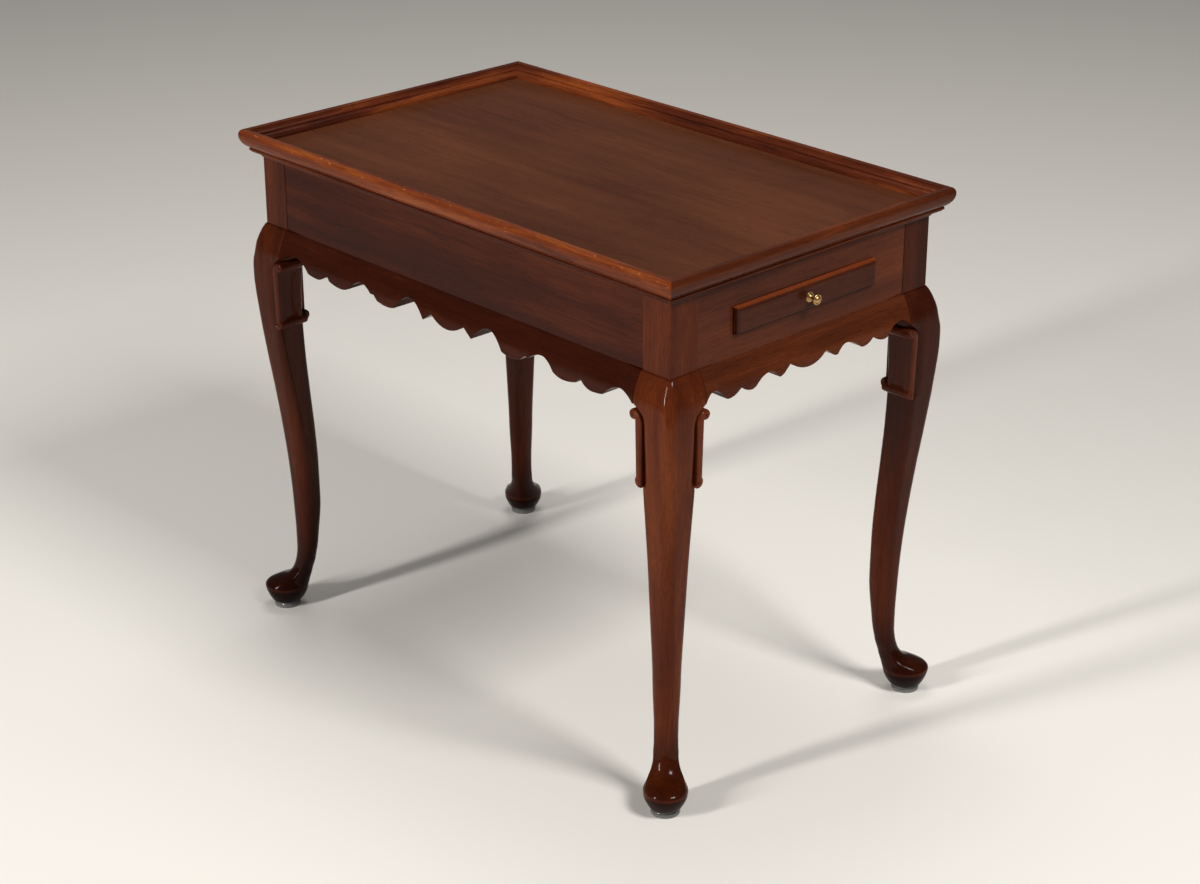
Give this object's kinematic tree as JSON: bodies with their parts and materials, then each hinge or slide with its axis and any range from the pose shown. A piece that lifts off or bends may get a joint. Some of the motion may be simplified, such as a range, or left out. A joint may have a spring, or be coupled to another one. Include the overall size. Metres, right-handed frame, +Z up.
{
  "type": "tray top tea table",
  "caption": "Rectangular wooden tea table with a moulded tray rim, scalloped aprons, cabriole legs and pull-out candle slides.",
  "frame": {"origin": "on the floor, under the centre of the table", "axes": "+X along the length towards the right end slide, +Y across the width towards the back, +Z up"},
  "size_m": [0.806, 0.499, 0.686],
  "materials": {
    "mahogany": "satin gloss lacquer over red-brown stain",
    "mahogany_top": "satin gloss lacquer over red-brown stain",
    "inner_wood": "planed, unfinished",
    "turned_brass": "turned and lacquered",
    "clear_plastic": "clear moulded plastic",
    "steel": "plated"
  },
  "bodies": {
    "table": {"tray_board": "mahogany_top", "rim_front": "mahogany", "bed_moulding_front": "mahogany", "apron_front": "mahogany", "rim_back": "mahogany", "bed_moulding_back": "mahogany", "apron_back": "mahogany", "rim_left": "mahogany", "bed_moulding_left": "mahogany", "apron_left": "mahogany", "rim_right": "mahogany", "bed_moulding_right": "mahogany", "apron_right": "mahogany", "leg_front_right": "mahogany", "corner_block_front_right": "inner_wood", "ear_front_right_long": "mahogany", "ear_front_right_end": "mahogany", "glide_front_right": "clear_plastic", "leg_back_right": "mahogany", "corner_block_back_right": "inner_wood", "ear_back_right_long": "mahogany", "ear_back_right_end": "mahogany", "glide_back_right": "clear_plastic", "leg_back_left": "mahogany", "corner_block_back_left": "inner_wood", "ear_back_left_long": "mahogany", "ear_back_left_end": "mahogany", "glide_back_left": "clear_plastic", "leg_front_left": "mahogany", "corner_block_front_left": "inner_wood", "ear_front_left_long": "mahogany", "ear_front_left_end": "mahogany", "glide_front_left": "clear_plastic", "guide_rail_front": "inner_wood", "cleat_front": "inner_wood", "guide_rail_back": "inner_wood", "cleat_back": "inner_wood", "top_screws": "steel", "glide_nails": "steel"},
    "right_slide": {"slide_board_right": "mahogany", "slide_front_right": "mahogany", "knob_right": "turned_brass", "knob_plate_right": "turned_brass", "stop_pegs_right": "inner_wood"},
    "left_slide": {"slide_board_left": "mahogany", "slide_front_left": "mahogany", "knob_left": "turned_brass", "knob_plate_left": "turned_brass", "stop_pegs_left": "inner_wood"}
  },
  "joints": [
    {"name": "right_slide_pull", "type": "slide", "parent": "table", "child": "right_slide", "axis": [1, 0, 0], "range_m": [0, 0.2]},
    {"name": "left_slide_pull", "type": "slide", "parent": "table", "child": "left_slide", "axis": [-1, 0, 0], "range_m": [0, 0.2]}
  ]
}
